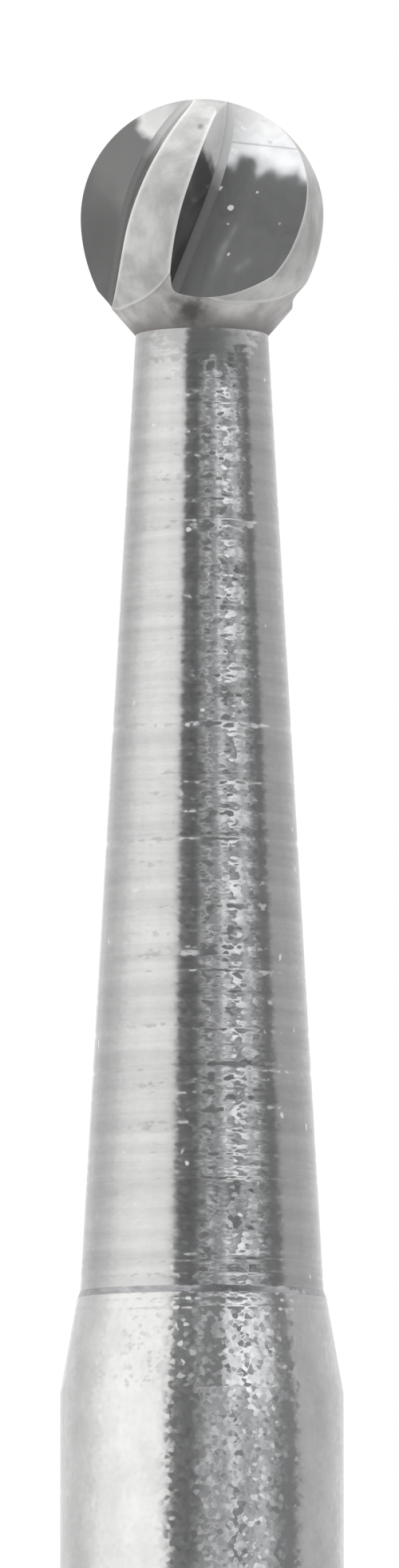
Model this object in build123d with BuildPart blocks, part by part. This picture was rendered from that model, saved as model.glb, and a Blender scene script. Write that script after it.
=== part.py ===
from build123d import *
import math
import os

# Round dental bur with a 1.6 mm friction-grip shank.
# It stands on the flat end of its shank: Z runs up the bur's axis, and the origin is the
# centre of that flat end. All sizes are in millimetres.

# Whole bur
overall_length = 19.0
head_diameter = 1.40

# Steel shank, shoulder and neck, turned from one rod
shank_diameter = 1.60
shank_end_chamfer = 0.12
shoulder_depth = 0.095
shoulder_half_angle = 10.0
ledge_depth = 0.017
ledge_length = 0.040
neck_length = 5.44
neck_top_diameter = 0.755

# Carbide head: a ball in front, a fuller barrel behind its widest place, then a cone
barrel_radius = 0.915
rear_edge_drop = 0.37
rear_cone_half_angle = 41.0

# Flutes, each ground by a wheel that follows an arc over the ball and leaves straight behind.
# The first flute angle is counted from the front of the bur, -Y, towards +X.
flute_count = 4
first_flute_angle = 24.6
helix_angle = 23.0
flute_depth = 0.302
root_radius = 0.060
wheel_path_radius = 1.122
wheel_path_drop = 0.080
root_offset = 0.158
rake_wall_angle = 48.0
floor_rise_angle = 24.0
wheel_path_turn = 80.0
section_clearance = 0.065

# Worked-out sizes
head_radius = head_diameter / 2
neck_top_radius = neck_top_diameter / 2
shank_radius = shank_diameter / 2
shoulder_top_radius = shank_radius - shoulder_depth
neck_base_radius = shoulder_top_radius - ledge_depth
ball_centre_height = overall_length - head_radius
barrel_angle = math.degrees(math.asin(rear_edge_drop / barrel_radius))
barrel_centre_radius = head_radius - barrel_radius
rear_edge_radius = barrel_centre_radius + math.sqrt(barrel_radius**2 - rear_edge_drop**2)
rear_edge_height = ball_centre_height - rear_edge_drop
rear_cone_length = (rear_edge_radius - neck_top_radius) / math.tan(math.radians(rear_cone_half_angle))
braze_height = rear_edge_height - rear_cone_length
neck_base_height = braze_height - neck_length
shoulder_top_height = neck_base_height - ledge_length
shoulder_length = shoulder_depth / math.tan(math.radians(shoulder_half_angle))
shoulder_base_height = shoulder_top_height - shoulder_length

os.makedirs("parts", exist_ok=True)

# Shank: cylinder, shoulder cone, small ledge and long neck taper, turned in one piece
with BuildPart() as shank:
    with BuildSketch(Plane.XZ):
        with BuildLine():
            Polyline(
                (0, 0),
                (shank_radius, 0),
                (shank_radius, shoulder_base_height),
                (shoulder_top_radius, shoulder_top_height),
                (neck_base_radius, neck_base_height),
                (neck_top_radius, braze_height),
                (0, braze_height),
                close=True,
            )
        make_face()
    revolve(axis=Axis.Z)
    foot = shank.faces().sort_by(Axis.Z)[0]
    chamfer(foot.edges(), length=shank_end_chamfer)
shank.part.label = "shank"
export_step(shank.part, "parts/shank.step")

# Flute cutter: the wheel's section, swung about the path's centre over the ball and then
# carried straight back past the rear cone. Its section stands square to the path.
helix = math.radians(helix_angle)
path_direction = Vector(0, math.sin(helix), math.cos(helix))
across_flute = Vector(0, -math.cos(helix), math.sin(helix))
outward = Vector(1, 0, 0)
ball_centre = Vector(0, 0, ball_centre_height)
root_distance = head_radius - flute_depth
path_centre = (
    ball_centre
    + outward * (root_distance - wheel_path_radius)
    + across_flute * root_offset
    - path_direction * wheel_path_drop
)
section_plane = Plane(origin=path_centre, x_dir=outward, z_dir=path_direction * -1)

# The section is a V with a rounded root: a steep rake wall on one side and a long floor on
# the other. The flute's depth is counted to the corner where the two would meet.
section_reach = flute_depth + section_clearance
wall_spread = section_reach * math.tan(math.radians(rake_wall_angle))
floor_spread = section_reach / math.tan(math.radians(floor_rise_angle))

with BuildPart() as flute_cutter:
    with BuildSketch(section_plane) as wheel_section:
        with BuildLine():
            Polyline(
                (wheel_path_radius, 0),
                (wheel_path_radius + section_reach, wall_spread),
                (wheel_path_radius + section_reach, -floor_spread),
                close=True,
            )
        make_face()
        root_corner = wheel_section.vertices().sort_by(Axis.X)[0]
        fillet(root_corner, radius=root_radius)
    revolve(axis=Axis(path_centre, across_flute), revolution_arc=wheel_path_turn)
    extrude(wheel_section.sketch, amount=head_diameter)

# Head: ball, barrel and rear cone turned as one blank, with a flat back face brazed to the
# neck, then the flutes ground into it
with BuildPart() as cutting_head:
    with BuildSketch(Plane.XZ):
        with BuildLine():
            CenterArc(
                (0, ball_centre_height),
                head_radius,
                start_angle=90,
                arc_size=-90,
            )
            CenterArc(
                (barrel_centre_radius, ball_centre_height),
                barrel_radius,
                start_angle=0,
                arc_size=-barrel_angle,
            )
            Polyline(
                (rear_edge_radius, rear_edge_height),
                (neck_top_radius, braze_height),
                (0, braze_height),
                (0, overall_length),
            )
        make_face()
    revolve(axis=Axis.Z)
    with PolarLocations(0, flute_count, start_angle=first_flute_angle - 90):
        add(flute_cutter.part, mode=Mode.SUBTRACT)
cutting_head.part.label = "cutting_head"
export_step(cutting_head.part, "parts/cutting_head.step")
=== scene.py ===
# %% [markdown]
# # A round dental bur, seen very close
# The bur is 19 mm long and its shank is 1.6 mm thick, so the picture is a macro shot of its
# front half. Two pieces make it: a carbide head with four ground flutes, and a steel shank
# that was turned and ground. Both are bare metal, so what the eye sees is mostly the studio
# reflected in them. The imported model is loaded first, and every piece is fitted to it.

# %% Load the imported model
import math
import bpy
import numpy as np
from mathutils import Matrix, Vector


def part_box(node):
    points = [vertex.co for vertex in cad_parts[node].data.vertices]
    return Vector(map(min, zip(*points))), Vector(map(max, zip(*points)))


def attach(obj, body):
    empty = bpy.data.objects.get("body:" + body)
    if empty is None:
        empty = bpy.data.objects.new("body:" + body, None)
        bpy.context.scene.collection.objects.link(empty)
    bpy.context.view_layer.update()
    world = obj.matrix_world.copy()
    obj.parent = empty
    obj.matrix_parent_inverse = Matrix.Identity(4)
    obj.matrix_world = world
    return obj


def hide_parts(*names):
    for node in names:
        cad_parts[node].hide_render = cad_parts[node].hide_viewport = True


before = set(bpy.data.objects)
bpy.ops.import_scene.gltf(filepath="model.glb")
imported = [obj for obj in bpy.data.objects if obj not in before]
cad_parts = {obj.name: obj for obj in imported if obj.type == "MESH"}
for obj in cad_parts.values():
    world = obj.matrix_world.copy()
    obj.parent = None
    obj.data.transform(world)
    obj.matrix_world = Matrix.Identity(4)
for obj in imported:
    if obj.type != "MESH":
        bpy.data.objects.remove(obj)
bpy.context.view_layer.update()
MM = 0.001
shank_low, shank_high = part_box("shank")
head_low, head_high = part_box("cutting_head")
print("shank is", round((shank_high.x - shank_low.x) / MM, 3), "mm thick")
print("head is", round((head_high.x - head_low.x) / MM, 3), "mm wide")

# %% [markdown]
# ## Camera
# The photo is a tall frame, 500 pixels wide and 1964 high. The fine rings on the neck show
# their undersides near the head and look nearly straight lower down, so the lens stands about
# level with the middle of the bur and is tilted up. A long lens 80 mm away gives the same
# slight change of view along the bur.

# %% Set up the camera
FRAME_HEIGHT_PX = 1964
FOCAL_PX = 17748
SENSOR_MM = 36.0
CAMERA_DISTANCE = 80.0 * MM
CAMERA_HEIGHT = 7.668 * MM
CAMERA_TILT = 5.3  # degrees above level
CAMERA_SIDE = -0.014 * MM

camera_data = bpy.data.cameras.new("macro_lens")
camera_data.sensor_fit = "AUTO"
camera_data.sensor_width = SENSOR_MM
camera_data.lens = FOCAL_PX / FRAME_HEIGHT_PX * SENSOR_MM
camera_data.clip_start = 1 * MM
camera_data.clip_end = 10.0
camera = bpy.data.objects.new("camera", camera_data)
camera.location = (CAMERA_SIDE, -CAMERA_DISTANCE, CAMERA_HEIGHT)
camera.rotation_euler = (math.radians(90 + CAMERA_TILT), 0, 0)
bpy.context.scene.collection.objects.link(camera)
bpy.context.scene.camera = camera
print("lens", round(camera_data.lens), "mm")

# %% [markdown]
# ## Helpers for materials
# A colour is written the way a paint program shows it, as sRGB hex, and turned to linear light
# by one function. One small function adds a node, sets it up and links it.

# %% Colours and nodes
def linear(hex_code):
    """sRGB hex to linear RGBA: each channel c from 0 to 1 goes through the sRGB curve, which
    is c / 12.92 in the darkest shades and ((c + 0.055) / 1.055) to the power 2.4 above."""
    channels = [int(hex_code[i:i + 2], 16) / 255 for i in (1, 3, 5)]
    curve = [c / 12.92 if c <= 0.04045 else ((c + 0.055) / 1.055) ** 2.4 for c in channels]
    return (*curve, 1.0)


def add(tree, kind, inputs=None, **settings):
    """Adds one node. inputs maps a socket's name or number to a value or to another socket."""
    node = tree.nodes.new(kind)
    for name, value in settings.items():
        setattr(node, name, value)
    for name, value in (inputs or {}).items():
        if isinstance(value, bpy.types.NodeSocket):
            tree.links.new(value, node.inputs[name])
        else:
            node.inputs[name].default_value = value
    return node


# %% [markdown]
# Two things come back in the studio and in the metals: a value that changes along a measure,
# and colours that lie over one another. Each is written once here.

# %% Values along a measure, and coats of colour
def read_stops(tree, share, stops, low, high, full=1):
    """A value read off a line through stops, each a position and a grey value or red, green
    and blue values. share is 0 at position low and 1 at high. A colour ramp holds no more
    than 1, so values are given as their share of full."""
    node = add(tree, "ShaderNodeValToRGB", {"Fac": share})
    elements = node.color_ramp.elements
    elements.remove(elements[1])
    for index, (position, value) in enumerate(stops):
        place = (position - low) / (high - low)
        element = elements.new(place) if index else elements[0]
        element.position = place
        element.color = (*(np.broadcast_to(value, 3) / full), 1)
    return node.outputs["Color"]


def layered(tree, base, *coats):
    """Colours laid over one another like coats of paint. Each coat is a share and a colour:
    share 0 leaves what lies below it, and share 1 hides it."""
    for share, colour in coats:
        coat = add(tree, "ShaderNodeMix", {0: share, 6: base, 7: colour}, data_type="RGBA")
        base = coat.outputs[2]
    return base


# %% [markdown]
# ## Studio
# Polished steel is a mirror, so what it reflects matters more than how much light there is.
# Real lamps and cards round the bur would stand in the way of some view, so the studio is
# drawn on the sky. Going round it there is a big soft box on the left, the dark room behind
# the camera, a crumpled foil card on the right that throws broken light and is brighter
# higher up, a dark gap beside it, and the white backdrop behind the bur. Above them the soft
# box reaches further right, and beside it hangs a dark flag, lowest in the middle. The table
# is bright under the soft box and dark in front, and a soft white lamp fills the top.

# %% The studio's light by azimuth
# Each stop is an azimuth in degrees and a light, where 1 is white. Azimuth 0 is towards the
# camera, -90 is left, 90 is right, and 180 is behind the bur.
SKY_FULL = 2.0  # the brightest light that a ramp holds
HORIZON = [
    (-180, 1.00), (-150, 0.92), (-122, 0.86), (-104, 1.02), (-88, 1.34), (-62, 1.44),
    (-40, 1.38), (-30, 1.22), (-25, 0.24), (-10, 0.21), (-3, 0.28), (4, 0.61), (24, 0.70),
    (40, 0.62), (64, 0.42), (73, 0.28), (81, 0.30), (88, 0.62), (118, 0.68), (150, 0.85),
    (180, 1.00),
]
ABOVE = [
    (-180, 1.00), (-140, 1.00), (-100, 1.10), (-60, 1.12), (-6, 1.12), (-2.5, 0.29),
    (40, 0.31), (60, 0.60), (98, 1.05), (130, 1.20), (180, 1.10),
]
TABLE = [
    (-180, 0.60), (-110, 0.85), (-76, 1.10), (-34, 1.05), (-27, 0.26), (8, 0.26), (40, 0.34),
    (90, 0.80), (110, 1.05), (150, 1.00), (180, 0.80),
]
TABLE_NEAR = 0.95  # the table right under the bur
CEILING_LIGHT = 1.9
# How much of each azimuth the crumpled foil covers.
FOIL_SHARE = [(-180, 0), (-26, 0), (-23, 0.24), (-7, 0.24), (3, 1), (62, 1), (72, 0), (180, 0)]
# The colour of each lamp, in red, green and blue.
TINT = [
    (-180, (1, 1, 1)), (-120, (1, 0.995, 0.99)), (-30, (1, 0.994, 0.984)), (-22, (0.975, 0.985, 1)),
    (68, (0.975, 0.985, 1)), (88, (1, 0.997, 0.999)), (180, (1, 1, 1)),
]
print("studio ring has", len(HORIZON), "stops")

# %% Where one part of the studio ends and the next begins
# These are elevations in degrees: 0 is level, -90 straight down and 90 straight up.
TABLE_NEAR_EDGE = (-76, -60)
TABLE_EDGE = (-26, -16)
ABOVE_FROM = [
    (-180, 28), (-31, 28), (-29, 33), (-5, 33), (-2, 19), (15, 19), (21, 28), (180, 28),
]
ABOVE_SOFT = 1.5  # degrees over which that edge blurs
CEILING_EDGE = (56, 62)
# How bright the foil is at each elevation, as a factor on the light of its azimuth.
FOIL_RISE = [
    (-90, 0.30), (-26, 0.42), (-12, 0.72), (3, 0.90), (11, 1.08), (19, 1.75), (26, 2.0), (90, 2.0),
]

# %% Turn a direction into azimuth and elevation
world = bpy.data.worlds.new("studio")
world.use_nodes = True
bpy.context.scene.world = world
sky = world.node_tree
sky.nodes.clear()
direction = add(sky, "ShaderNodeTexCoord").outputs["Generated"]
split = add(sky, "ShaderNodeSeparateXYZ", {0: direction})
minus_y = add(sky, "ShaderNodeMath", {0: split.outputs["Y"], 1: -1.0}, operation="MULTIPLY")
azimuth = add(sky, "ShaderNodeMath", {0: split.outputs["X"], 1: minus_y.outputs[0]}, operation="ARCTAN2")
elevation = add(sky, "ShaderNodeMath", {0: split.outputs["Z"]}, operation="ARCSINE")
azimuth_share = add(
    sky, "ShaderNodeMapRange",
    {"Value": azimuth.outputs[0], "From Min": -math.pi, "From Max": math.pi},
)
elevation_share = add(
    sky, "ShaderNodeMapRange",
    {"Value": elevation.outputs[0], "From Min": -math.pi / 2, "From Max": math.pi / 2},
)


def round_the_room(stops, full=SKY_FULL):
    """A value for each azimuth, from stops between -180 and 180 degrees."""
    return read_stops(sky, azimuth_share.outputs["Result"], stops, -180, 180, full)


def up_the_room(stops, full=SKY_FULL):
    """A value for each elevation, from stops between -90 and 90 degrees."""
    return read_stops(sky, elevation_share.outputs["Result"], stops, -90, 90, full)


def rises_past(edge):
    """0 below an edge given as two elevations, 1 above it."""
    return up_the_room([(-90, 0), (edge[0], 0), (edge[1], 1), (90, 1)], 1)


# %% Crumple the foil card
FOIL_SCALE = 7.0
FOIL_FOLDS = (0.38, 0.64)  # the noise from a dark fold to a bright one
FOIL_LIGHT = (0.54, 1.80)  # and what each throws back

level = round_the_room(HORIZON)
crumple = add(sky, "ShaderNodeTexNoise", {"Vector": direction, "Scale": FOIL_SCALE, "Detail": 0.5})
crumple_light = add(
    sky, "ShaderNodeMapRange",
    {
        "Value": crumple.outputs["Fac"], "From Min": FOIL_FOLDS[0], "From Max": FOIL_FOLDS[1],
        "To Min": FOIL_LIGHT[0], "To Max": FOIL_LIGHT[1],
    },
)
foil = up_the_room(FOIL_RISE)
for light in (crumple_light.outputs["Result"], level):
    foil = add(sky, "ShaderNodeVectorMath", {0: foil, 1: light}, operation="MULTIPLY").outputs[0]
foil = add(sky, "ShaderNodeVectorMath", {0: foil, "Scale": SKY_FULL}, operation="SCALE").outputs[0]
walls = layered(sky, level, (round_the_room(FOIL_SHARE, 1), foil))

# %% Lay table, walls, flag and lamp over one another
above_from = round_the_room(ABOVE_FROM, 90)
minus_from = add(sky, "ShaderNodeMath", {0: above_from, 1: -1.0}, operation="MULTIPLY")
past_edge = add(
    sky, "ShaderNodeMath",
    {0: elevation.outputs[0], 1: 2 / math.pi, 2: minus_from.outputs[0]}, operation="MULTIPLY_ADD",
)
above_share = add(
    sky, "ShaderNodeMapRange",
    {"Value": past_edge.outputs[0], "From Min": -ABOVE_SOFT / 90, "From Max": ABOVE_SOFT / 90},
)
near_table = (TABLE_NEAR / SKY_FULL,) * 3 + (1,)
ceiling = (CEILING_LIGHT / SKY_FULL,) * 3 + (1,)
studio = layered(
    sky, near_table,
    (rises_past(TABLE_NEAR_EDGE), round_the_room(TABLE)),
    (rises_past(TABLE_EDGE), walls),
    (above_share.outputs["Result"], round_the_room(ABOVE)),
    (rises_past(CEILING_EDGE), ceiling),
)

# %% [markdown]
# Light that is perfectly even looks drawn. The soft box's cloth hangs in folds, which a soft
# noise stands for, and every lamp is a little warm or cool. A view that looks straight past
# the bur meets plain white.

# %% Uneven cloth, tinted lamps and a white backdrop
CLOTH_SCALE = 17.0
CLOTH_FOLDS = (0.3, 0.7)  # the noise from a dark fold to a bright one
CLOTH_LIGHT = (0.84, 1.12)  # and what each lets through

tint = round_the_room(TINT, 1)
tinted = add(sky, "ShaderNodeVectorMath", {0: studio, 1: tint}, operation="MULTIPLY").outputs[0]
cloth = add(sky, "ShaderNodeTexNoise", {"Vector": direction, "Scale": CLOTH_SCALE, "Detail": 2.0})
uneven = add(
    sky, "ShaderNodeMapRange",
    {
        "Value": cloth.outputs["Fac"], "From Min": CLOTH_FOLDS[0], "From Max": CLOTH_FOLDS[1],
        "To Min": CLOTH_LIGHT[0] * SKY_FULL, "To Max": CLOTH_LIGHT[1] * SKY_FULL,
    },
)
reflected = add(sky, "ShaderNodeBackground", {"Color": tinted, "Strength": uneven.outputs["Result"]})
backdrop = add(sky, "ShaderNodeBackground", {"Color": linear("#ffffff"), "Strength": 1.0})
ray = add(sky, "ShaderNodeLightPath")
seen = add(
    sky, "ShaderNodeMixShader",
    {0: ray.outputs["Is Camera Ray"], 1: reflected.outputs[0], 2: backdrop.outputs[0]},
)
add(sky, "ShaderNodeOutputWorld", {"Surface": seen.outputs[0]})
world.cycles.sampling_method = "MANUAL"
world.cycles.sample_map_resolution = 1024
print("studio has", len(sky.nodes), "nodes")

# %% [markdown]
# ## Floor
# A plain pale floor carries the bur. It is wide enough that its edge stays out of every view.
# The metal mirrors the sky's own table instead of the floor, whose far reach would light the
# bur from below more than a small studio table does.

# %% Lay the floor
FLOOR_RADIUS = 400 * MM
FLOOR_CORNERS = 64


def new_material(name):
    """An empty node material and its tree."""
    material = bpy.data.materials.new(name)
    material.use_nodes = True
    material.node_tree.nodes.clear()
    return material, material.node_tree


floor_material, tree = new_material("matt_white_board")
board = add(tree, "ShaderNodeBsdfDiffuse", {"Color": linear("#dcdcda")})
add(tree, "ShaderNodeOutputMaterial", {"Surface": board.outputs[0]})
around = np.linspace(0, 2 * math.pi, FLOOR_CORNERS, endpoint=False)
rim = [FLOOR_RADIUS * np.cos(around), FLOOR_RADIUS * np.sin(around), np.zeros(FLOOR_CORNERS)]
floor_mesh = bpy.data.meshes.new("floor")
floor_mesh.from_pydata(np.stack(rim, 1).tolist(), [], [list(range(FLOOR_CORNERS))])
floor_mesh.materials.append(floor_material)
floor = bpy.data.objects.new("floor", floor_mesh)
bpy.context.scene.collection.objects.link(floor)
floor.visible_glossy = False
print("floor is", round(2 * FLOOR_RADIUS, 2), "m wide")

# %% [markdown]
# ## From grids to a mesh
# Each surface is computed as a grid of points, row by row, as whole arrays. Grids that share
# an edge hold the same points there, so the mesh is welded by place: points that agree to a
# millionth of a millimetre become one, and faces that shrink to a line drop out.

# %% Join and weld grids
WELD_MM = 1e-6


def grid_faces(rows, columns):
    """Corner numbers of the quads of a rows by columns grid, wound so that a surface whose
    columns run anticlockwise and whose rows run downwards faces outwards."""
    index = np.arange(rows * columns).reshape(rows, columns)
    return np.stack([index[:-1, :-1], index[1:, :-1], index[1:, 1:], index[:-1, 1:]], -1).reshape(-1, 4)


def joined(grids):
    """The points, marks, faces and material numbers of all grids, each as one array.

    A grid is given as its points, rows by columns by 3 in mm, two values per point that say
    how far along and across the surface it lies, and a material number.
    """
    points, marks, faces, slots = [], [], [], []
    first = 0
    for grid, along, across, slot in grids:
        rows, columns = grid.shape[:2]
        points.append(grid.reshape(-1, 3))
        marks.append(np.stack([across, along], -1).reshape(-1, 2))
        faces.append(grid_faces(rows, columns) + first)
        slots.append(np.full(len(faces[-1]), slot))
        first += rows * columns
    return [np.concatenate(group) for group in (points, marks, faces, slots)]


def weld(points, faces):
    """Numbers of the points that stay, and each face's corners as places in that list."""
    places = np.round(points / WELD_MM).astype(np.int64)
    _, kept, number = np.unique(places, axis=0, return_index=True, return_inverse=True)
    return kept, number.reshape(-1)[faces]


# %% [markdown]
# A quad that welding has shrunk to a triangle drops the corner that repeats the one before it.
# The along and across values go to a UV map, so that a pattern can follow the surface, and
# edges sharper than a given angle stay crisp while the rest is smooth.

# %% Build a piece from its grids
def build_piece(name, grids, materials, sharp_degrees):
    """Joins and welds grids into one object, whose faces turn smoothly into one another
    where they meet at less than sharp_degrees."""
    points, marks, faces, slots = joined(grids)
    kept, corners = weld(points, faces)
    new_corner = corners != np.roll(corners, 1, axis=1)
    whole = new_corner.sum(1) >= 3
    new_corner, corners, faces = new_corner[whole], corners[whole], faces[whole]
    loops, loop_marks = corners[new_corner], marks[faces[new_corner]]
    sizes = new_corner.sum(1)
    mesh = bpy.data.meshes.new(name)
    mesh.vertices.add(len(kept))
    mesh.vertices.foreach_set("co", (points[kept] * MM).astype(np.float32).ravel())
    mesh.loops.add(len(loops))
    mesh.loops.foreach_set("vertex_index", loops.astype(np.int32))
    mesh.polygons.add(len(sizes))
    starts = np.concatenate([[0], np.cumsum(sizes)[:-1]])
    mesh.polygons.foreach_set("loop_start", starts.astype(np.int32))
    mesh.polygons.foreach_set("material_index", slots[whole].astype(np.int32))
    mesh.update(calc_edges=True)
    mesh.validate()
    uv = mesh.uv_layers.new(name="along_cut")
    uv.data.foreach_set("uv", loop_marks.astype(np.float32).ravel())
    mesh.polygons.foreach_set("use_smooth", np.ones(len(mesh.polygons), bool))
    mesh.set_sharp_from_angle(angle=math.radians(sharp_degrees))
    for material in materials:
        mesh.materials.append(material)
    piece = bpy.data.objects.new(name, mesh)
    bpy.context.scene.collection.objects.link(piece)
    triangles = int((sizes - 2).sum())
    print(name, len(kept), "points,", triangles, "triangles")
    return piece


# %% [markdown]
# ## Patterns that lean a surface
# Ground and turned metal is smooth, but it is made of tiny faces that each look a little their
# own way. A bump map could show them. Leaning the surface normal itself keeps each facet flat,
# so that it flashes as a whole. All patterns are in Object coordinates and measured in mm.

# %% Places, grain and leaned normals
NOISE_SCALE = 0.5  # a wave of noise is two blobs, one dark and one light
MIDDLE = (0.5, 0.5, 0.5)


def place_mm(tree):
    """Object coordinates in mm."""
    place = add(tree, "ShaderNodeTexCoord").outputs["Object"]
    return add(tree, "ShaderNodeVectorMath", {0: place, "Scale": 1 / MM}, operation="SCALE").outputs[0]


def in_cells(tree, place, size):
    """The place counted in cells of a pattern: x, y and z divided by the cell's size in mm."""
    per_mm = tuple(1 / side for side in size)
    return add(tree, "ShaderNodeMapping", {"Vector": place, "Scale": per_mm}).outputs[0]


def blobs(tree, place, size, detail):
    """Soft noise whose dark and light blobs have the given size in mm."""
    return add(
        tree, "ShaderNodeTexNoise",
        {"Vector": in_cells(tree, place, size), "Scale": NOISE_SCALE, "Detail": detail},
    )


def grain(tree, pitch_x, pitch_z, detail=2.0):
    """Noise from 0 to 1 whose blobs are pitch_x wide and pitch_z high, in mm."""
    return blobs(tree, place_mm(tree), (pitch_x, pitch_x, pitch_z), detail).outputs["Fac"]


def lean_by(tree, pattern, tilt, normal=None):
    """A normal leaned by a pattern's colour, which is a direction with 0.5 as its middle: the
    normal plus tilt times (colour minus 0.5), brought back to length 1."""
    normal = normal or add(tree, "ShaderNodeNewGeometry").outputs["Normal"]
    middle = add(
        tree, "ShaderNodeVectorMath", {0: pattern.outputs["Color"], 1: MIDDLE}, operation="SUBTRACT",
    )
    leaned = add(
        tree, "ShaderNodeVectorMath",
        {0: middle.outputs[0], 1: tilt, 2: normal}, operation="MULTIPLY_ADD",
    )
    return add(tree, "ShaderNodeVectorMath", {0: leaned.outputs[0]}, operation="NORMALIZE").outputs[0]


def facets_of(tree, size, tilt, soft, normal=None):
    """A normal leaned by whole facets: a cell pattern gives each facet, size mm in x, y and z,
    one random lean of at most half of tilt each way. soft rounds their borders."""
    cells = add(
        tree, "ShaderNodeTexVoronoi",
        {"Vector": in_cells(tree, place_mm(tree), size), "Scale": 1.0, "Smoothness": soft},
        feature="SMOOTH_F1",
    )
    return lean_by(tree, cells, tilt, normal)


# %% [markdown]
# ## Bare metal
# Steel and carbide are the same kind of surface to a renderer: all reflection, tinted by the
# metal's own grey, and blurred by its roughness. So one function makes them all, and what
# differs is its grey, its roughness and its facets. Some have a few white specks of dust.

# %% One function for every bare metal
DUST_MM = 0.034
DUST_EDGE = 0.04
DUST_WHITE = "#e6e6e8"


def metal(name, colour, roughness, facets, metallic=1.0, dust=None):
    """A Principled shader with the normal that facets(tree) makes. colour(tree) adds the
    colour's nodes. A lower metallic dulls the surface, and metallic may be a number or such a function
    too.
    dust is the noise level past which a white speck of dust lies on the metal."""
    material, tree = new_material(name)
    base = colour(tree)
    metallic = metallic(tree) if callable(metallic) else metallic
    if dust:
        speck = add(
            tree, "ShaderNodeMapRange",
            {"Value": grain(tree, DUST_MM, DUST_MM, 0.0), "From Min": dust, "From Max": dust + DUST_EDGE},
        ).outputs["Result"]
        base = layered(tree, base, (speck, linear(DUST_WHITE)))
        metallic = add(tree, "ShaderNodeMath", {0: metallic, 1: speck}, operation="SUBTRACT").outputs[0]
    shade = add(
        tree, "ShaderNodeBsdfPrincipled",
        {"Base Color": base, "Metallic": metallic, "Roughness": roughness, "Normal": facets(tree)},
    )
    add(tree, "ShaderNodeOutputMaterial", {"Surface": shade.outputs[0]})
    return material


# %% Uneven shades of grey
BLOTCH = (0.36, 0.64)  # the noise from the one shade to the other
TONE_DETAIL = 3.0


def blotches(tree, pitch_x, pitch_z, detail):
    """Grain stretched so that it runs all the way from 0 to 1."""
    return add(
        tree, "ShaderNodeMapRange",
        {"Value": grain(tree, pitch_x, pitch_z, detail), "From Min": BLOTCH[0], "From Max": BLOTCH[1]},
    ).outputs["Result"]


def uneven_tone(dark, light, pitch_x, pitch_z):
    """A metal's tone that drifts between two shades, in blobs pitch_x wide and pitch_z high."""
    def colour(tree):
        share = blotches(tree, pitch_x, pitch_z, TONE_DETAIL)
        return layered(tree, linear(dark), (share, linear(light)))
    return colour


# %% [markdown]
# ## Steel
# The shank is hardened stainless steel. Its lower part is centreless ground, which leaves an
# even grain of small facets. The neck is turned, which leaves rings round it. The ledge below
# the neck is turned as well, and stained. All are bright metal: the grain and the rings only
# make the edges of reflections ragged, and break the foil's reflection into sparkle. A thin
# fillet of braze leans the reflections downwards where the neck meets the head.

# %% Grain and rings
# Real grinding grain is a few thousandths of a millimetre wide, which is too fine to show in
# the picture, so facets and rings are drawn 0.02 to 0.04 mm wide, as coarse as they need.
GROUND_FACET_MM = (0.028, 0.028, 0.026)
GROUND_TILT = (0.07, 0.07, 0.25)
GROUND_SOFT = 0.42
TURNED_FACET_MM = (0.036, 0.036, 0.022)
TURNED_TILT = (0.03, 0.03, 0.27)
TURNED_SOFT = 0.6
RING_MM = (0.5, 0.5, 0.030)  # long round the neck and short along it
RING_TILT = (0, 0, 0.75)
RING_DETAIL = 1.5
BRAZE_TOP_MM = shank_high.z / MM
BRAZE_REACH_MM = 0.42
BRAZE_LEAN = 0.52


def ground_facets(tree):
    """Even grain of a ground surface."""
    return facets_of(tree, GROUND_FACET_MM, GROUND_TILT, GROUND_SOFT)


def braze_lean(tree, place):
    """The normal near the head, where a thin fillet of braze leans it downwards."""
    height = add(tree, "ShaderNodeSeparateXYZ", {0: place}).outputs["Z"]
    drop = add(
        tree, "ShaderNodeMapRange",
        {
            "Value": height, "From Min": BRAZE_TOP_MM - BRAZE_REACH_MM, "From Max": BRAZE_TOP_MM,
            "To Min": 0, "To Max": -BRAZE_LEAN,
        },
    )
    down = add(tree, "ShaderNodeCombineXYZ", {"Z": drop.outputs["Result"]}).outputs[0]
    normal = add(tree, "ShaderNodeNewGeometry").outputs["Normal"]
    return add(tree, "ShaderNodeVectorMath", {0: normal, 1: down}, operation="ADD").outputs[0]


def turned_facets(tree):
    """Turning rings, with some grain on them."""
    place = place_mm(tree)
    rings = blobs(tree, place, RING_MM, RING_DETAIL)
    ringed = lean_by(tree, rings, RING_TILT, braze_lean(tree, place))
    return facets_of(tree, TURNED_FACET_MM, TURNED_TILT, TURNED_SOFT, ringed)


# %% Steel finishes
# Ground steel is the brightest, and its sparkle is fine and even.
ground_steel = metal(
    "ground_stainless_steel", uneven_tone("#c9c9c9", "#d3d3d3", pitch_x=0.10, pitch_z=0.14),
    roughness=0.16, facets=ground_facets,
)
# Turned steel is a shade darker, in bands that run round the neck, and has caught some dust.
turned_steel = metal(
    "turned_stainless_steel", uneven_tone("#b5b5b5", "#c1c1c1", pitch_x=0.9, pitch_z=0.035),
    roughness=0.15, facets=turned_facets, dust=0.83,
)
# The stained ledge is the darkest and dullest, and its stain is patchy.
ledge_steel = metal(
    "stained_steel_ledge", uneven_tone("#9a9a9c", "#b0b0b2", pitch_x=0.05, pitch_z=0.02),
    roughness=0.22, facets=turned_facets,
)
print("ground facets", GROUND_FACET_MM[2], "mm high, rings", RING_MM[2], "mm apart")

# %% [markdown]
# ## Shank
# Everything below the head is one turned piece: a tapered neck, a little ledge, a shoulder
# cone and the plain shank. Cylinders and cones could be joined, but one profile swept round
# the axis has no seams, and turning rings can be cut into it. Its top and its radius come
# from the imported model, and its other sizes are those of the model's drawing. The lens sees
# some rings as lines, so the strongest are real dips at the heights where they were seen, and
# fainter ones lie between them at random.

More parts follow.
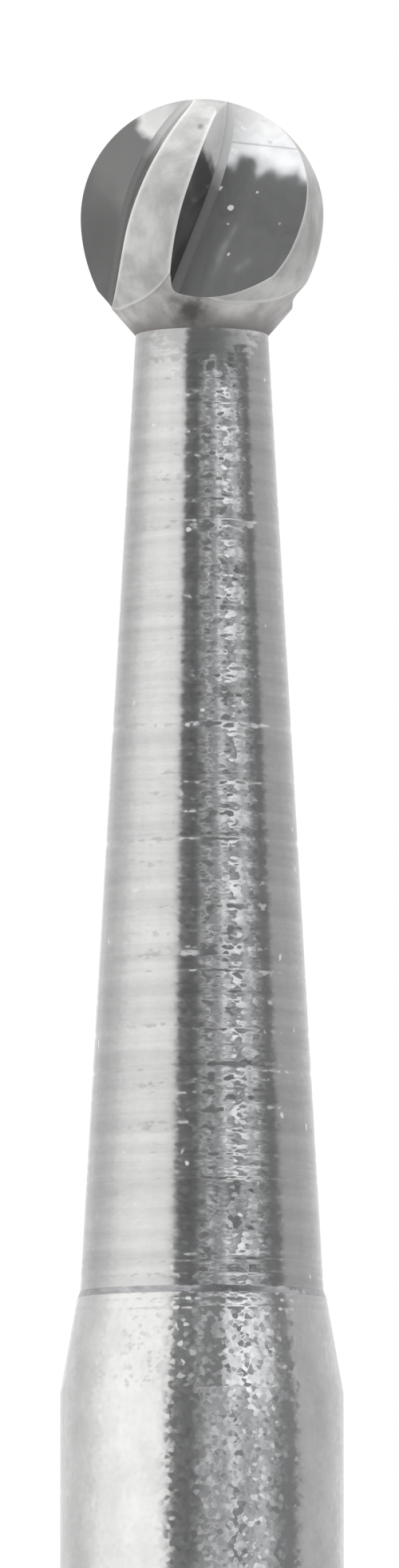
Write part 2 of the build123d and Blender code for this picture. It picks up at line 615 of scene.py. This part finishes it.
# %% Sizes of the shank
SHANK_RADIUS = shank_high.x / MM
NECK_TOP = shank_high.z / MM
NECK_TOP_RADIUS = 0.3775
NECK_LENGTH = 5.44
SHOULDER_DEPTH = 0.095
SHOULDER_SLOPE = math.radians(10)
LEDGE_DEPTH = 0.017
LEDGE_LENGTH = 0.040
FOOT_CHAMFER = 0.12
NECK_BASE = NECK_TOP - NECK_LENGTH
SHOULDER_TOP = NECK_BASE - LEDGE_LENGTH
SHOULDER_BASE = SHOULDER_TOP - SHOULDER_DEPTH / math.tan(SHOULDER_SLOPE)
SHOULDER_TOP_RADIUS = SHANK_RADIUS - SHOULDER_DEPTH
NECK_BASE_RADIUS = SHOULDER_TOP_RADIUS - LEDGE_DEPTH
print("shoulder cone runs from", round(SHOULDER_BASE, 2), "to", round(SHOULDER_TOP, 2), "mm")

# %% Turning rings as dips
FAINT_RINGS = 46
FAINT_RING_SEED = 7
FAINT_RING_DEPTHS = (0.0002, 0.0011)
FAINT_RING_WIDTHS = (0.008, 0.020)
PLAIN_RINGS_MM = [
    17.354, 17.227, 16.684, 16.556, 16.073, 15.881, 15.098, 15.064, 13.993, 12.952, 12.881, 12.821,
    12.352, 12.280, 12.140, 12.088,
]
PLAIN_RING = (0.0018, 0.010)  # depth and width
DARK_RINGS_MM = [15.399, 14.748, 13.658, 13.441]
DARK_RING = (0.0036, 0.018)

rng = np.random.default_rng(FAINT_RING_SEED)
spans = [(NECK_BASE, NECK_TOP), FAINT_RING_DEPTHS, FAINT_RING_WIDTHS]
faint = [rng.uniform(*span, FAINT_RINGS) for span in spans]
seen_rings = [(height, *PLAIN_RING) for height in PLAIN_RINGS_MM]
seen_rings += [(height, *DARK_RING) for height in DARK_RINGS_MM]
ring_height, ring_depth, ring_width = np.concatenate([faint, np.transpose(seen_rings)], 1)


def turning_dips(z):
    """Sum of narrow round-bottomed grooves, in mm, each a bell curve of the height."""
    return (ring_depth * np.exp(-(((z[:, None] - ring_height) / ring_width) ** 2))).sum(1)


print(len(ring_height), "rings, the deepest", turning_dips(ring_height).max().round(4), "mm")

# %% Turn the shank
SHANK_COLUMNS = 72
NECK_ROW_MM = 0.0065
LEDGE_ROWS = 7
SHOULDER_ROWS = 90
PLAIN_ROWS = 60


def swept_grid(z, radius, columns):
    """Grid of points of a profile turned round Z: rows run down the profile, and each point
    is radius times (cosine, sine) of its column's angle, at height z."""
    turn = np.linspace(0, 2 * math.pi, columns + 1)
    turn[-1] = 0
    x = radius[:, None] * np.cos(turn)
    y = radius[:, None] * np.sin(turn)
    height = np.repeat(z[:, None], columns + 1, 1)
    around = np.linspace(0, 2 * math.pi, columns + 1)[None, :] * radius[:, None]
    return np.stack([x, y, height], -1), height, around


neck_z = np.linspace(NECK_TOP, NECK_BASE, int(NECK_LENGTH / NECK_ROW_MM))
neck_r = np.interp(neck_z, [NECK_BASE, NECK_TOP], [NECK_BASE_RADIUS, NECK_TOP_RADIUS])
neck_r = neck_r - turning_dips(neck_z) * ((neck_z < NECK_TOP) & (neck_z > NECK_BASE))
neck_z = np.concatenate([[NECK_TOP], neck_z])
neck_r = np.concatenate([[0.0], neck_r])
lower_z = np.concatenate([
    np.linspace(NECK_BASE, SHOULDER_TOP, LEDGE_ROWS),
    np.linspace(SHOULDER_TOP, SHOULDER_BASE, SHOULDER_ROWS)[1:],
    np.linspace(SHOULDER_BASE, FOOT_CHAMFER, PLAIN_ROWS)[1:],
    [0.0, 0.0],
])
profile_z = [0, FOOT_CHAMFER, SHOULDER_BASE, SHOULDER_TOP, NECK_BASE]
profile_r = [
    SHANK_RADIUS - FOOT_CHAMFER, SHANK_RADIUS, SHANK_RADIUS, SHOULDER_TOP_RADIUS, NECK_BASE_RADIUS,
]
lower_r = np.interp(lower_z, profile_z, profile_r)
lower_r = lower_r - turning_dips(lower_z) * ((lower_z < SHOULDER_TOP) & (lower_z > SHOULDER_BASE))
lower_r[-1] = 0
# Material numbers: turned 0, ground 1, ledge 2.
shank = build_piece(
    "steel_shank",
    [
        (*swept_grid(neck_z, neck_r, SHANK_COLUMNS), 0),
        (*swept_grid(lower_z[:LEDGE_ROWS], lower_r[:LEDGE_ROWS], SHANK_COLUMNS), 2),
        (*swept_grid(lower_z[LEDGE_ROWS - 1:], lower_r[LEDGE_ROWS - 1:], SHANK_COLUMNS), 1),
    ],
    [turned_steel, ground_steel, ledge_steel],
    sharp_degrees=30,
)
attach(shank, "root")
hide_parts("shank")

# %% [markdown]
# ## Head
# The head is a carbide ball with a fuller barrel behind its widest place, a rear cone, and four
# flutes ground into it by a wheel that swings over the ball and then runs straight back. Seen
# from the ball's centre, each direction meets the finished surface once, so the surface is a
# distance worked out for each latitude and azimuth. A direction runs out to the blank or to
# the ground flute, whichever comes first. The columns of the grid bend to follow each flute's
# cutting edge, root and heel, which keeps all three edges crisp.

# %% Sizes of the head
HEAD_RADIUS = 0.70
BARREL_RADIUS = 0.915
REAR_EDGE_DROP = 0.37
REAR_CONE_SLOPE = math.tan(math.radians(41))
REAR_EDGE_RADIUS = HEAD_RADIUS - BARREL_RADIUS + math.sqrt(BARREL_RADIUS**2 - REAR_EDGE_DROP**2)
BACK_DROP = REAR_EDGE_DROP + (REAR_EDGE_RADIUS - NECK_TOP_RADIUS) / REAR_CONE_SLOPE
BALL_CENTRE = NECK_TOP + BACK_DROP
FLUTES = 4
FLUTE_AZIMUTH = math.radians(24.6 - 90)
HELIX = math.radians(23)
FLUTE_DEPTH = 0.302
ROOT_RADIUS = 0.060
WHEEL_PATH_RADIUS = 1.122
WHEEL_PATH_DROP = 0.080
ROOT_OFFSET = 0.158
RAKE_WALL = math.radians(48)
FLOOR_RISE = math.radians(24)
WALL_TO_FLOOR = math.sin(RAKE_WALL - FLOOR_RISE)
print("ball centre is", round(BALL_CENTRE, 3), "mm up, rear edge", round(REAR_EDGE_RADIUS, 3), "mm out")

# %% Distance to the blank
JUST_BELOW = -1e-9  # keeps the back face's formula from dividing by zero


def blank_reach(latitude):
    """Distance to the turned blank: the least of ball, barrel, cone and flat back."""
    c, s = np.cos(latitude), np.minimum(np.sin(latitude), JUST_BELOW)
    centre = HEAD_RADIUS - BARREL_RADIUS
    barrel = c * centre + np.sqrt((c * centre) ** 2 + BARREL_RADIUS**2 - centre**2)
    cone = (REAR_EDGE_RADIUS + REAR_EDGE_DROP * REAR_CONE_SLOPE) / (c - s * REAR_CONE_SLOPE)
    back = BACK_DROP / -s
    below = np.minimum(np.minimum(barrel, cone), back)
    return np.where(latitude >= 0, HEAD_RADIUS, below)


# %% Distance to the ground flute
BISECTIONS = 44
FARTHEST_MM = 2.0  # past every point of the head, seen from the ball's centre


def flute_place(latitude, azimuth, reach):
    """Place in a flute's own frame: x away from the wheel path's centre line, y along the
    path, w across it. Azimuth is counted from the flute's own outward direction."""
    px = reach * np.cos(latitude) * np.cos(azimuth)
    py = reach * np.cos(latitude) * np.sin(azimuth)
    pz = reach * np.sin(latitude)
    x = px + WHEEL_PATH_RADIUS - (HEAD_RADIUS - FLUTE_DEPTH)
    y = pz * math.cos(HELIX) + py * math.sin(HELIX) + WHEEL_PATH_DROP
    w = pz * math.sin(HELIX) - py * math.cos(HELIX) - ROOT_OFFSET
    return x, y, w


def flute_section(latitude, azimuth, reach):
    """Past the rake wall, past the floor, and past the ground surface with its rounded root,
    in mm. Wall and floor are straight lines in the wheel's section, and the section turns
    about the path's centre over the ball. Inside the corner the surface is the root's circle:
    u and v are the distances from its centre towards the two lines."""
    x, y, w = flute_place(latitude, azimuth, reach)
    out = np.where(y > 0, np.hypot(x, y), x) - WHEEL_PATH_RADIUS
    past_wall = out * math.sin(RAKE_WALL) - w * math.cos(RAKE_WALL)
    past_floor = out * math.cos(FLOOR_RISE) + w * math.sin(FLOOR_RISE)
    u, v = ROOT_RADIUS - past_wall, ROOT_RADIUS - past_floor
    square = (u * u + v * v - 2 * WALL_TO_FLOOR * u * v) / (1 - WALL_TO_FLOOR**2)
    corner = (u > WALL_TO_FLOOR * v) & (v > WALL_TO_FLOOR * u)
    ground = np.where(corner, ROOT_RADIUS - np.sqrt(square), np.minimum(past_wall, past_floor))
    return u, v, ground


def halve(inside, low, high):
    """Bisection on whole arrays: inside(middle) is true on the low side of the answer."""
    for _ in range(BISECTIONS):
        middle = (low + high) / 2
        keep = inside(middle)
        low, high = np.where(keep, middle, low), np.where(keep, high, middle)
    return (low + high) / 2


def flute_reach(latitude, azimuth):
    """Distance at which a direction leaves the carbide through the ground flute."""
    shape = np.broadcast(latitude, azimuth).shape
    return halve(
        lambda reach: flute_section(latitude, azimuth, reach)[2] < 0,
        np.zeros(shape), np.full(shape, FARTHEST_MM),
    )


def depth_cut(latitude, azimuth):
    """How deep the flute lies under the blank, and negative where it misses the blank."""
    return blank_reach(latitude) - flute_reach(latitude, azimuth)


# %% [markdown]
# The flute's outline is found row by row. A coarse look along the row finds where the flute
# lies below the blank, and halving the step finds its two edges. The loop's two ends, the
# highest and lowest latitude that the flute reaches, are found the same way.

# %% Find the two ends of the flute's outline
LOOK = np.radians(np.arange(-180, 180, 0.25))
LOOK_STEP = LOOK[1] - LOOK[0]
TOP_SEARCH = (math.radians(89.9), math.radians(30))
BOTTOM_SEARCH = (math.radians(-59), math.radians(-20))


def loop_end(clear_latitude, cut_latitude):
    """Latitude and azimuth of one end of the flute's outline, between a row without a cut
    and a row with one."""
    def misses(latitude):
        return not (depth_cut(latitude, LOOK) > 0).any()
    end = float(halve(misses, clear_latitude, cut_latitude))
    return end, float(LOOK[depth_cut(end, LOOK).argmax()])


top_end, top_azimuth = loop_end(*TOP_SEARCH)
bottom_end, bottom_azimuth = loop_end(*BOTTOM_SEARCH)
rear_edge = -math.atan2(REAR_EDGE_DROP, REAR_EDGE_RADIUS)
neck_edge = -math.atan2(BACK_DROP, NECK_TOP_RADIUS)
print(
    "flute runs from", round(math.degrees(top_end), 2), "to", round(math.degrees(bottom_end), 2),
    "degrees of latitude; rear edge at", round(math.degrees(rear_edge), 2),
)

# %% [markdown]
# The rows of the grid are latitudes. They are close together near the flute's two ends, where
# its outline curves round, and one row lies exactly on each edge of the blank.

# %% Choose the rows
BALL_ROWS = 91
BARREL_ROWS = 36
CONE_ROWS = 70
BACK_LATITUDES = np.radians([-72, -90])
CLOSE_SPAN = math.radians(3)
CLOSE_ROWS = 8
SAME_LATITUDE = 1e-6

close_steps = CLOSE_SPAN * np.linspace(0, 1, CLOSE_ROWS + 1)[1:] ** 2
rows = np.concatenate([
    np.linspace(math.radians(90), 0, BALL_ROWS),
    np.linspace(0, rear_edge, BARREL_ROWS),
    np.linspace(rear_edge, neck_edge, CONE_ROWS),
    [top_end, bottom_end],
    top_end - close_steps,
    bottom_end + close_steps,
    BACK_LATITUDES,
])
rows = np.unique(np.round(rows, 9))[::-1]  # one row where two agree to nine digits
cuts_row = (rows < top_end - SAME_LATITUDE) & (rows > bottom_end + SAME_LATITUDE)
lat = rows[cuts_row]
print(len(rows), "rows,", len(lat), "of them cut by the flutes")

# %% Find each flute's edges and root on every row
under = depth_cut(lat[:, None], LOOK[None, :]) > 0
first_cut, last_cut = under.argmax(1), len(LOOK) - 1 - under[:, ::-1].argmax(1)


def edge_azimuth(index, step):
    """Azimuth where the row enters the flute: from one look outside it to one inside."""
    return halve(lambda a: depth_cut(lat, a) <= 0, LOOK[index] - step, LOOK[index])


cutting_edge = edge_azimuth(first_cut, LOOK_STEP)
heel = edge_azimuth(last_cut, -LOOK_STEP)


def past_root(azimuth, from_wall):
    """Compares a point of the ground flute with the two ends of the root's circle: true on
    the rake wall, or with from_wall false, true up to the floor."""
    u, v, _ = flute_section(lat, azimuth, flute_reach(lat, azimuth))
    return v < WALL_TO_FLOOR * u if from_wall else u > WALL_TO_FLOOR * v


root_start = halve(lambda a: past_root(a, True), cutting_edge, heel)
root_end = halve(lambda a: past_root(a, False), root_start, heel)
print("flute is", np.degrees(heel - cutting_edge).max().round(1), "degrees wide at most")

# %% [markdown]
# Where the rear of a land meets the cone, the finer ground land sweeps down towards the flute
# on its left, and the turned cone shows below it. The sweep is written as a latitude that
# falls away from the cutting edge and levels out. The distances to it and to the land's edges
# go into the UV map, so that the material can follow them.

# %% Bend the grid to the flute
WALL_COLUMNS = 10
ROOT_COLUMNS = 10
FLOOR_COLUMNS = 24
SECTOR = 2 * math.pi / FLUTES
FLUTE_LINES = 4  # cutting edge, both ends of the root's circle, and heel

flute_edges = np.repeat(np.where(rows > 0, top_azimuth, bottom_azimuth)[:, None], FLUTE_LINES, 1)
flute_edges[cuts_row] = np.stack([cutting_edge, root_start, root_end, heel], 1)
all_cut, all_start, all_end, all_heel = flute_edges.T[:, :, None]
row_latitude = rows[:, None]
blank = blank_reach(row_latitude)


def spread(start, end, shares):
    """Azimuths from start to end of each row, at the given shares of the way."""
    return start + (end - start) * shares[None, :]


def points_of(azimuth, reach, turn):
    """Points of a grid of directions, turned to their flute's place on the head."""
    around = azimuth + turn
    flat = reach * np.cos(row_latitude)
    height = np.broadcast_to(BALL_CENTRE + reach * np.sin(row_latitude), around.shape)
    return np.stack([flat * np.cos(around), flat * np.sin(around), height], -1)


def flute_part(start, end, columns):
    """Azimuths, distances and marks of one side of the flute: the ground surface, cut off
    at the blank."""
    azimuth = spread(start, end, np.linspace(0, 1, columns + 1))
    reach = np.minimum(flute_reach(row_latitude, azimuth), blank)
    x, y, w = flute_place(row_latitude, azimuth, reach)
    along = np.where(y > 0, WHEEL_PATH_RADIUS * np.arctan2(y, x), y)
    return azimuth, reach, along, w


wall_part = flute_part(all_cut, all_start, WALL_COLUMNS)
root_part = flute_part(all_start, all_end, ROOT_COLUMNS)
floor_part = flute_part(all_end, all_heel, FLOOR_COLUMNS)
wall_part[1][:, 0] = blank[:, 0]
floor_part[1][:, -1] = blank[:, 0]
root_part[1][:, 0] = wall_part[1][:, -1]
floor_part[1][:, 0] = root_part[1][:, -1]

# %% Mark how far each point of the land is from the sweep line and the edges
LAND_COLUMNS = 24
SWEEP_DROP = math.radians(17)
SWEEP_LENGTH = math.radians(16)
SWEEP_RETURN = math.radians(3.7)
SWEEP_RETURN_FROM = math.radians(-2)

land_share = 0.5 - 0.5 * np.cos(np.linspace(0, math.pi, LAND_COLUMNS + 1))
land_azimuth = spread(all_heel, all_cut + SECTOR, land_share)
land_reach = np.broadcast_to(blank, land_azimuth.shape)
sweep_start = float(np.interp(-rear_edge, -lat, cutting_edge)) + SECTOR
sweep_drop = SWEEP_DROP * (1 - np.exp(-(sweep_start - land_azimuth) / SWEEP_LENGTH))
return_share = (SWEEP_RETURN_FROM - land_azimuth) / (SWEEP_RETURN_FROM - bottom_azimuth)
sweep_latitude = rear_edge - sweep_drop + SWEEP_RETURN * np.clip(return_share, 0, 1) ** 2
above_sweep = (row_latitude - sweep_latitude) * blank
past_end = np.maximum(row_latitude - top_end, 0) + np.maximum(bottom_end - row_latitude, 0)
from_side = np.minimum(land_azimuth - all_heel, all_cut + SECTOR - land_azimuth)
from_side = np.hypot(from_side * blank * np.cos(row_latitude), past_end * blank)
land_edge = np.minimum(from_side, np.maximum(above_sweep, 0))

# %% Repeat the flute and its land round the head
LAND_SLOT = 3  # after the material numbers of floor, wall and root

head_grids = []
for flute in range(FLUTES):
    turn = FLUTE_AZIMUTH + flute * SECTOR
    for slot, part in enumerate((floor_part, wall_part, root_part)):
        azimuth, reach, along, across = part
        head_grids.append((points_of(azimuth, reach, turn), along, across, slot))
    head_grids.append((points_of(land_azimuth, land_reach, turn), above_sweep, land_edge, LAND_SLOT))
print(len(head_grids), "grids of", len(rows), "rows")

# %% [markdown]
# ## Flutes
# The head is sintered tungsten carbide, a grey metal. Each flute is ground with a fine wheel
# that runs along it, so its floor is a mirror with faint marks along the flute, which tear the
# edges of reflections into teeth. The rake wall is nearly as smooth. Shade in the flute is
# painted: the floor is painted darker towards the root, and the rake wall and root are painted
# dark as shade up to a ragged edge, above which they are painted pale as a highlight. A noise
# fixed to the object couldn't follow the flute, so these finishes read the UV map, which says
# in mm how far along and across the flute each point lies. The real marks are finer than the
# picture can show, and are drawn coarser.

# %% Marks along the flute, and tones that follow it
FLUTE_MARK_MM = (0.042, 0.13, 1)  # across the flute and along it
FLUTE_MARK_DETAIL = 0.3
FLUTE_SPECK_MM = (0.03, 0.03, 0.03)


def flute_facets(tilt, speck_tilt):
    """Marks along the flute, each leaning a little its own way, on a little grain."""
    def facets(tree):
        place = add(tree, "ShaderNodeUVMap", uv_map="along_cut").outputs[0]
        marks = blobs(tree, place, FLUTE_MARK_MM, FLUTE_MARK_DETAIL)
        specks = blobs(tree, place_mm(tree), FLUTE_SPECK_MM, 0.0)
        return lean_by(tree, specks, (speck_tilt,) * 3, lean_by(tree, marks, (tilt,) * 3))
    return facets


def along_ramp(axis, stops, shift=None):
    """A value that changes along the flute (axis "Y") or across it (axis "X"), from stops in
    mm. shift(tree) adds to the place along that axis."""
    def value(tree):
        place = add(tree, "ShaderNodeUVMap", uv_map="along_cut").outputs[0]
        measure = add(tree, "ShaderNodeSeparateXYZ", {0: place}).outputs[axis]
        if shift:
            moved = add(tree, "ShaderNodeMath", {0: measure, 1: shift(tree)}, operation="ADD")
            measure = moved.outputs[0]
        low, high = stops[0][0], stops[-1][0]
        share = add(tree, "ShaderNodeMapRange", {"Value": measure, "From Min": low, "From Max": high})
        return read_stops(tree, share.outputs["Result"], stops, low, high)
    return value


# %% One thin scratch
SCRATCH_HEIGHT_MM = 18.741
SCRATCH_SLOPE = -0.094
SCRATCH_HALF_MM = 0.006  # half of its width
SCRATCH_FRONT_MM = -0.05  # it lies only where y is less than this
SCRATCH_SHARE = 0.32
SCRATCH_GREY = "#5a5a5c"


def scratched(floor_tone):
    """The floor's tone with one thin scratch across its bright upper end, on the front of the
    head alone: a band round a height that falls with x."""
    def colour(tree):
        place = add(tree, "ShaderNodeSeparateXYZ", {0: place_mm(tree)}).outputs
        above_line = add(
            tree, "ShaderNodeMath",
            {0: place["X"], 1: -SCRATCH_SLOPE, 2: place["Z"]}, operation="MULTIPLY_ADD",
        )
        near_line = add(
            tree, "ShaderNodeMath",
            {0: above_line.outputs[0], 1: SCRATCH_HEIGHT_MM, 2: SCRATCH_HALF_MM}, operation="COMPARE",
        )
        front = add(tree, "ShaderNodeMath", {0: place["Y"], 1: SCRATCH_FRONT_MM}, operation="LESS_THAN")
        share = near_line.outputs[0]
        for factor in (front.outputs[0], SCRATCH_SHARE):
            share = add(tree, "ShaderNodeMath", {0: share, 1: factor}, operation="MULTIPLY").outputs[0]
        return layered(tree, floor_tone(tree), (share, linear(SCRATCH_GREY)))
    return colour


# %% Edge of the painted shade and highlight
PAINTED_EDGE_LOWER_MM = 0.16
PAINTED_EDGE_SLANT = 0.64
PAINTED_EDGE_RAGGED_MM = 0.16
PAINTED_EDGE_BLOT_MM = 0.05


def painted_edge_shift(tree):
    """Where the painted shade below ends and the painted highlight above begins: the edge stands
    higher on the left side of the head, and blots make it ragged. In words, slant times x, plus a fixed
    shift, plus noise."""
    side = add(tree, "ShaderNodeSeparateXYZ", {0: place_mm(tree)}).outputs["X"]
    blot = grain(tree, PAINTED_EDGE_BLOT_MM, PAINTED_EDGE_BLOT_MM, 1.0)
    ragged = add(
        tree, "ShaderNodeMath",
        {0: blot, 1: PAINTED_EDGE_RAGGED_MM, 2: PAINTED_EDGE_LOWER_MM - PAINTED_EDGE_RAGGED_MM / 2}, operation="MULTIPLY_ADD",
    )
    return add(
        tree, "ShaderNodeMath", {0: side, 1: PAINTED_EDGE_SLANT, 2: ragged.outputs[0]}, operation="MULTIPLY_ADD",
    ).outputs[0]


# %% Flute finishes
# Each stop is a place in mm, across the flute for the floor and along it for the others, and
# the reflectance there, or for the wall's metallic stops how metallic it still looks. The floor's
# stops paint shade towards the root. The wall's and the root's stops paint shade low down and a highlight
# above a ragged edge.
FLOOR_TONE_AND_ROOT_SHADE_MM = [(-0.60, 0.51), (-0.20, 0.50), (-0.05, 0.34), (0.0, 0.26)]
WALL_SHADE_AND_HIGHLIGHT_MM = [
    (-1.2, 0.125), (-0.12, 0.125), (0.04, 0.165), (0.42, 0.165), (0.50, 0.80), (1.2, 0.82),
]
WALL_METALLIC_MM = [(-1.2, 0.85), (0.42, 0.85), (0.52, 0.40), (1.2, 0.40)]
ROOT_SHADE_AND_HIGHLIGHT_MM = [(-1.2, 0.16), (0.36, 0.17), (0.56, 0.55), (1.2, 0.60)]

# The floor is a mirror that is painted darker towards the root as shade, with one scratch and some dust.
flute_carbide = metal(
    "ground_carbide_floor", scratched(along_ramp("X", FLOOR_TONE_AND_ROOT_SHADE_MM)),
    roughness=0.12, facets=flute_facets(tilt=0.20, speck_tilt=0.03), dust=0.76,
)
# The rake wall is a mirror painted dark as shade, up to a ragged edge above which it is painted pale and
# dull as a highlight.
wall_carbide = metal(
    "ground_carbide_rake_wall", along_ramp("Y", WALL_SHADE_AND_HIGHLIGHT_MM, painted_edge_shift),
    roughness=0.18, facets=flute_facets(tilt=0.10, speck_tilt=0.04),
    metallic=along_ramp("Y", WALL_METALLIC_MM, painted_edge_shift),
)
# The root is too rough to mirror anything and looks plain grey: painted dark as shade, and pale as a
# painted highlight above the same edge as the wall's.
root_carbide = metal(
    "ground_carbide_root", along_ramp("Y", ROOT_SHADE_AND_HIGHLIGHT_MM, painted_edge_shift),
    roughness=0.50, facets=flute_facets(tilt=0.10, speck_tilt=0.04), metallic=0.15,
)
print("marks are", FLUTE_MARK_MM[1], "mm long and", FLUTE_MARK_MM[0], "mm wide")

# %% [markdown]
# ## Lands and rear cone
# A land is what the wheels left between two flutes. It is satin: partly a mirror, partly dull,
# with a painted highlight along its rims. Below the sweep line the turned rear cone shows,
# which is a little darker, and darker still where it meets the neck. Use has left marks
# as well: a smear of braze on the cone, and a stain at the tip of the front land. A lighter
# patch on the cone's right side is a painted pool of light. Both finishes share one material,
# because the line between them is not an edge of the grid: the UV map says how far each point
# is from that line and from the rims.

# %% Patches that lie at one place
# Each patch is a place on the head and how far the patch reaches from it, in mm.
BRAZE_SMEAR = ((-0.080, -0.45, 17.73), 0.17)
# A painted pool of light on the right side of the cone.
CONE_LIGHT_POOL = ((0.20, -0.46, 17.77), 0.18)
TIP_STAIN = ((-0.01, -0.50, 18.77), 0.04)
PATCH_BLOT_MM = 0.04
PATCH_RAGGED = 1.2
PATCH_EDGE = (0.7, 1.6)


def patch(tree, centre, reach):
    """Share of a patch: 1 at its centre and about 0 at reach mm from it. Noise is added to the
    distance, which makes the edge ragged."""
    distance = add(
        tree, "ShaderNodeVectorMath", {0: place_mm(tree), 1: centre}, operation="DISTANCE",
    ).outputs["Value"]
    blot = grain(tree, PATCH_BLOT_MM, PATCH_BLOT_MM, 3.0)
    ragged = add(
        tree, "ShaderNodeMath", {0: blot, 1: reach * PATCH_RAGGED, 2: distance}, operation="MULTIPLY_ADD",
    )
    return add(
        tree, "ShaderNodeMapRange",
        {
            "Value": ragged.outputs[0], "From Min": reach * PATCH_EDGE[0],
            "From Max": reach * PATCH_EDGE[1], "To Min": 1, "To Max": 0,
        },
        interpolation_type="SMOOTHSTEP",
    ).outputs["Result"]


# %% Where the rim highlight, land, cone and seam lie
LAND_RIM_HIGHLIGHT_MM = 0.030
SWEEP_SOFT_MM = 0.010
SEAM_TINT_MM = 0.09

land_carbide, tree = new_material("satin_carbide_land")
land_map = add(tree, "ShaderNodeUVMap", uv_map="along_cut").outputs[0]
land_marks = add(tree, "ShaderNodeSeparateXYZ", {0: land_map}).outputs
# A painted highlight along the land's rims and along the sweep line.
rim_highlight_share = add(
    tree, "ShaderNodeMapRange",
    {"Value": land_marks["X"], "From Min": 0, "From Max": LAND_RIM_HIGHLIGHT_MM, "To Min": 1, "To Max": 0},
    interpolation_type="SMOOTHSTEP",
).outputs["Result"]
sweep_share = add(
    tree, "ShaderNodeMapRange",
    {"Value": land_marks["Y"], "From Min": -SWEEP_SOFT_MM, "From Max": SWEEP_SOFT_MM},
    interpolation_type="SMOOTHSTEP",
).outputs["Result"]
land_height = add(tree, "ShaderNodeSeparateXYZ", {0: place_mm(tree)}).outputs["Z"]
# The cone darkens towards its joint with the neck.
seam_share = add(
    tree, "ShaderNodeMapRange",
    {
        "Value": land_height, "From Min": NECK_TOP, "From Max": NECK_TOP + SEAM_TINT_MM,
        "To Min": 1, "To Max": 0,
    },
).outputs["Result"]

# %% Colour the land and the cone
LAND_BLOT_MM = (0.07, 0.09)
LAND_BLOT_DETAIL = 6.0

blot_share = blotches(tree, *LAND_BLOT_MM, LAND_BLOT_DETAIL)
# The rim coat on the land is a painted highlight, and the lighter patch on the cone is a painted pool of
# light.
land_tone = layered(
    tree, linear("#bebebd"),
    (blot_share, linear("#d9d9d8")),
    (patch(tree, *TIP_STAIN), linear("#77746f")),
    (rim_highlight_share, linear("#eceae8")),
)
cone_tone = layered(
    tree, linear("#b5b3b3"),
    (blot_share, linear("#d8d6d5")),
    (patch(tree, *CONE_LIGHT_POOL), linear("#e6e4e1")),
    (seam_share, linear("#8f8b8b")),
    (patch(tree, *BRAZE_SMEAR), linear("#6b6866")),
)
head_tone = layered(tree, cone_tone, (sweep_share, land_tone))

# %% Roughen the land, and set it a step above the cone
# The real grain is finer than the picture can show, so it is drawn coarser.
LAND_GRAIN_MM = 0.020
LAND_GRAIN_HEIGHT = 0.0040 * MM
SWEEP_STEP = 0.006 * MM

land_bump = add(
    tree, "ShaderNodeBump",
    {"Height": grain(tree, LAND_GRAIN_MM, LAND_GRAIN_MM), "Distance": LAND_GRAIN_HEIGHT},
)
step_bump = add(
    tree, "ShaderNodeBump",
    {"Height": sweep_share, "Distance": SWEEP_STEP, "Normal": land_bump.outputs[0]},
)
land_shade = add(
    tree, "ShaderNodeBsdfPrincipled",
    {"Base Color": head_tone, "Metallic": 0.7, "Roughness": 0.62, "Normal": step_bump.outputs[0]},
)
add(tree, "ShaderNodeOutputMaterial", {"Surface": land_shade.outputs[0]})
print("land and cone have", len(tree.nodes), "nodes")

# %% Make the head
head = build_piece(
    "carbide_head", head_grids,
    [flute_carbide, wall_carbide, root_carbide, land_carbide],
    sharp_degrees=22,
)
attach(head, "root")
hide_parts("cutting_head")

# %% [markdown]
# ## Finish
# The scene is shown through the Standard view transform.

# %% Finish
bpy.context.scene.view_settings.view_transform = "Standard"
